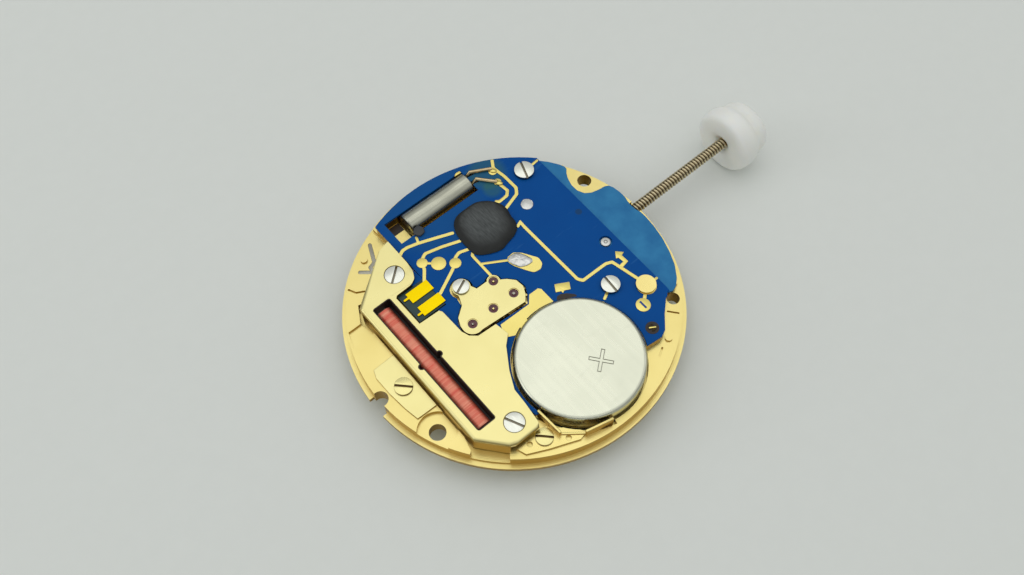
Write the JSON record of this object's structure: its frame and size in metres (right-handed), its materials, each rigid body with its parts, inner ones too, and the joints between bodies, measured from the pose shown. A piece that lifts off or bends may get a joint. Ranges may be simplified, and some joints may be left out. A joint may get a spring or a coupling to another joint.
{
  "type": "quartz watch movement",
  "caption": "Round quartz watch movement with date ring, power cell, coil and circuit board, gear train for the hands, and a long winding stem with a plastic knob.",
  "frame": {"origin": "the centre axis at the dial seat, the underside of the plate's rim", "axes": "+X along the winding stem towards its knob, +Z from the dial side to the battery side"},
  "size_m": [0.0377, 0.0256, 0.0055],
  "materials": {
    "gilt_brass": "gilt, satin",
    "gilt_sheet": "gilt, fine satin",
    "steel": "ground and polished steel",
    "screw_steel": "polished, nickel plated",
    "cell_steel": "satin nickel plated",
    "can_metal": "tinned, lightly brushed",
    "solder": "solder",
    "wire_enamel": "enamelled copper wire",
    "magnet": "sintered magnet",
    "board": "blue lacquered laminate",
    "terminal": "green laminate",
    "trace_gold": "gold plated copper",
    "tab_gold": "gold plated copper",
    "resin": "cast resin",
    "ruby": "polished",
    "insulator": "film",
    "date_white": "printed white lacquer",
    "knob_plastic": "translucent moulded plastic"
  },
  "bodies": {
    "movement": {"main_plate": "gilt_brass", "plate_jewels": "ruby", "train_bridge": "gilt_sheet", "bridge_jewels": "ruby", "bridge_screw": "screw_steel", "stator": "steel", "coil_core": "steel", "coil_winding": "wire_enamel", "coil_cover": "gilt_sheet", "cover_screws": "screw_steel", "coil_terminal": "terminal", "coil_contacts": "tab_gold", "circuit_board": "board", "board_traces": "trace_gold", "chip_resin": "resin", "crystal_can": "can_metal", "crystal_leads": "solder", "solder_joints": "solder", "keyless_cover": "board", "board_screws": "screw_steel", "board_pin": "gilt_brass", "power_cell": "cell_steel", "cell_insulator": "insulator", "negative_contact": "gilt_brass", "positive_strip": "trace_gold", "cell_clamp": "gilt_brass", "clamp_screw": "gilt_sheet", "fixing_plate": "gilt_sheet", "fixing_plate_screw": "gilt_sheet", "ground_spring": "steel", "date_cover": "gilt_brass", "date_cover_screws": "screw_steel", "date_jumper": "steel", "setting_jumper": "steel"},
    "rotor": {"rotor_magnet": "magnet", "rotor_pinion": "steel"},
    "intermediate": {"intermediate_wheel": "gilt_brass"},
    "third": {"third_wheel": "gilt_brass"},
    "seconds": {"seconds_wheel": "gilt_brass", "seconds_arbor": "steel"},
    "centre": {"centre_wheel": "gilt_brass"},
    "minutes": {"cannon_pinion": "steel"},
    "minute_train": {"minute_wheel": "gilt_brass"},
    "hours": {"hour_wheel": "gilt_brass"},
    "setting_train": {"setting_wheel": "steel"},
    "date_transfer": {"date_transfer_wheel": "gilt_brass"},
    "date_driver": {"date_driving_wheel": "gilt_brass"},
    "date": {"date_ring": "date_white"},
    "clutch": {"sliding_pinion": "steel"},
    "stem": {"winding_stem": "steel", "crown_knob": "knob_plastic"},
    "lever": {"setting_lever": "steel"},
    "release": {"release_pin": "screw_steel"},
    "yoke_body": {"yoke": "steel"},
    "stop": {"stop_lever": "steel"}
  },
  "joints": [
    {"name": "seconds_turn", "type": "hinge", "parent": "movement", "child": "seconds", "pos_m": [0, 0, 0], "axis": [0, 0, 1], "continuous": true},
    {"name": "intermediate_turn", "type": "hinge", "parent": "movement", "child": "intermediate", "pos_m": [-0.00193, 0, 0], "axis": [0, 0, 1], "continuous": true},
    {"name": "rotor_turn", "type": "hinge", "parent": "movement", "child": "rotor", "pos_m": [-0.00386, 0, 0], "axis": [0, 0, 1], "continuous": true},
    {"name": "third_turn", "type": "hinge", "parent": "movement", "child": "third", "pos_m": [-0.0005, 0.00173, 0], "axis": [0, 0, 1], "continuous": true},
    {"name": "centre_turn", "type": "hinge", "parent": "movement", "child": "centre", "pos_m": [0, 0, 0], "axis": [0, 0, 1], "continuous": true},
    {"name": "minutes_turn", "type": "hinge", "parent": "movement", "child": "minutes", "pos_m": [0, 0, 0], "axis": [0, 0, 1], "continuous": true},
    {"name": "minute_train_turn", "type": "hinge", "parent": "movement", "child": "minute_train", "pos_m": [0.00216, 0.00079, 0], "axis": [0, 0, 1], "continuous": true},
    {"name": "hours_turn", "type": "hinge", "parent": "movement", "child": "hours", "pos_m": [0, 0, 0], "axis": [0, 0, 1], "continuous": true},
    {"name": "setting_train_turn", "type": "hinge", "parent": "movement", "child": "setting_train", "pos_m": [0.00473, 0, 0], "axis": [0, 0, 1], "continuous": true},
    {"name": "date_transfer_turn", "type": "hinge", "parent": "movement", "child": "date_transfer", "pos_m": [-0.00234, 0.00234, 0], "axis": [0, 0, 1], "continuous": true},
    {"name": "date_driver_turn", "type": "hinge", "parent": "movement", "child": "date_driver", "pos_m": [-0.00407, 0.00407, 0], "axis": [0, 0, 1], "continuous": true},
    {"name": "date_ring_turn", "type": "hinge", "parent": "movement", "child": "date", "pos_m": [0, 0, 0], "axis": [0, 0, 1], "continuous": true, "deforming": ["date_jumper"]},
    {"name": "stem_turn", "type": "hinge", "parent": "movement", "child": "clutch", "pos_m": [0.0065, 0, 0.00095], "axis": [1, 0, 0], "continuous": true},
    {"name": "stem_pull", "type": "slide", "parent": "clutch", "child": "stem", "axis": [1, 0, 0], "range_m": [0, 0.0009]},
    {"name": "lever_swing", "type": "hinge", "parent": "movement", "child": "lever", "pos_m": [0.00814, -0.00107, 0], "axis": [0, 0, 1], "range_deg": [-46.02, 0.4]},
    {"name": "yoke_swing", "type": "hinge", "parent": "movement", "child": "yoke_body", "pos_m": [0.0075, 0.002, 0], "axis": [0, 0, 1], "range_deg": [-2.2, 0.1]},
    {"name": "stop_swing", "type": "hinge", "parent": "movement", "child": "stop", "pos_m": [0.0052, -0.0016, 0], "axis": [0, 0, 1], "range_deg": [-2.7, 0.1]},
    {"name": "release_press", "type": "slide", "parent": "movement", "child": "release", "axis": [0, 0, -1], "range_m": [0, 0.00015], "stiffness_N_per_m": 50, "springref_m": -0.00005}
  ],
  "couplings": [
    {"joint": "rotor_turn", "follows": "intermediate_turn", "ratio": -6},
    {"joint": "seconds_turn", "follows": "intermediate_turn", "ratio": -0.2},
    {"joint": "third_turn", "follows": "intermediate_turn", "ratio": 0.026667},
    {"joint": "centre_turn", "follows": "intermediate_turn", "ratio": -0.0033333},
    {"joint": "minutes_turn", "follows": "minute_train_turn", "ratio": -3},
    {"joint": "hours_turn", "follows": "minute_train_turn", "ratio": -0.25},
    {"joint": "setting_train_turn", "follows": "minute_train_turn", "ratio": -1.8},
    {"joint": "date_transfer_turn", "follows": "minute_train_turn", "ratio": 0.3125},
    {"joint": "date_driver_turn", "follows": "minute_train_turn", "ratio": -0.125},
    {"joint": "lever_swing", "follows": "stem_pull", "rad_per_m": -884.62},
    {"joint": "yoke_swing", "follows": "stem_pull", "rad_per_m": -38.785},
    {"joint": "stop_swing", "follows": "stem_pull", "rad_per_m": -48.481}
  ]
}
